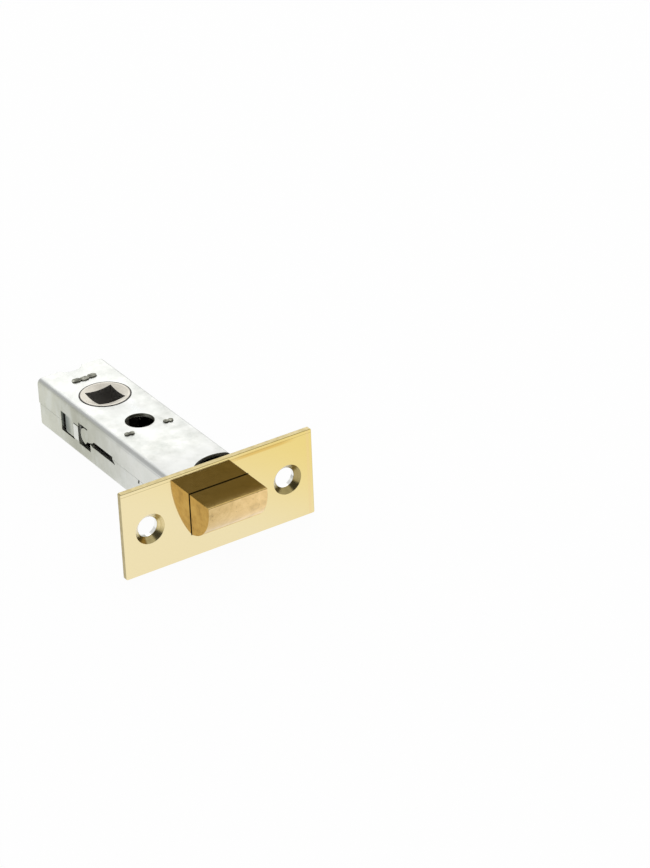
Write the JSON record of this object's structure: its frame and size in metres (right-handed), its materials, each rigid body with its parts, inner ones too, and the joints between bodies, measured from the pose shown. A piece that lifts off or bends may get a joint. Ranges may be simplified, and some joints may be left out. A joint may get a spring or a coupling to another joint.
{
  "type": "tubular door latch",
  "caption": "Tubular mortice latch with a sprung, bevelled bolt, a rectangular face plate, a slim folded case, a square follower and a bolt-through hole.",
  "frame": {"origin": "centre of the forend's front face, on the bolt's axis", "axes": "+X out of the door edge, the way the bolt is thrown; +Y along the forend; +Z along the spindle, with the bolt's flat side up"},
  "size_m": [0.0855, 0.057, 0.025],
  "materials": {
    "polished_brass": "mirror polished",
    "dull_brass": "satin, lightly marked",
    "zinc_plated_sheet": "zinc plated, faintly mottled",
    "plated_steel": "zinc plated",
    "cast_zinc": "as cast",
    "spring_steel": "drawn wire"
  },
  "bodies": {
    "case": {"forend": "polished_brass", "inner_forend": "plated_steel", "case_upper": "zinc_plated_sheet", "case_lower": "zinc_plated_sheet", "spring_plate": "plated_steel", "rear_plate": "plated_steel", "bolt_spring": "spring_steel", "return_spring_near": "spring_steel", "return_spring_far": "spring_steel"},
    "latch_bolt": {"bolt": "dull_brass", "guide_pin": "plated_steel", "pull_pin_near": "plated_steel", "pull_pin_far": "plated_steel"},
    "draw": {"draw_plate": "plated_steel"},
    "hub": {"follower": "cast_zinc"}
  },
  "joints": [
    {"name": "follower_turn", "type": "hinge", "parent": "case", "child": "hub", "pos_m": [-0.0575, 0, 0], "axis": [0, 0, 1], "range_deg": [0, 68]},
    {"name": "bolt_slide", "type": "slide", "parent": "case", "child": "latch_bolt", "axis": [-1, 0, 0], "range_m": [0, 0.0093], "stiffness_N_per_m": 600, "springref_m": -0.012, "deforming": ["bolt_spring"]},
    {"name": "draw_slide", "type": "slide", "parent": "case", "child": "draw", "axis": [-1, 0, 0], "range_m": [0, 0.0093], "deforming": ["return_spring_near", "return_spring_far"]}
  ],
  "couplings": [
    {"joint": "draw_slide", "follows": "bolt_slide", "ratio": 1},
    {"joint": "follower_turn", "follows": "bolt_slide", "rad_per_m": 127.6}
  ]
}
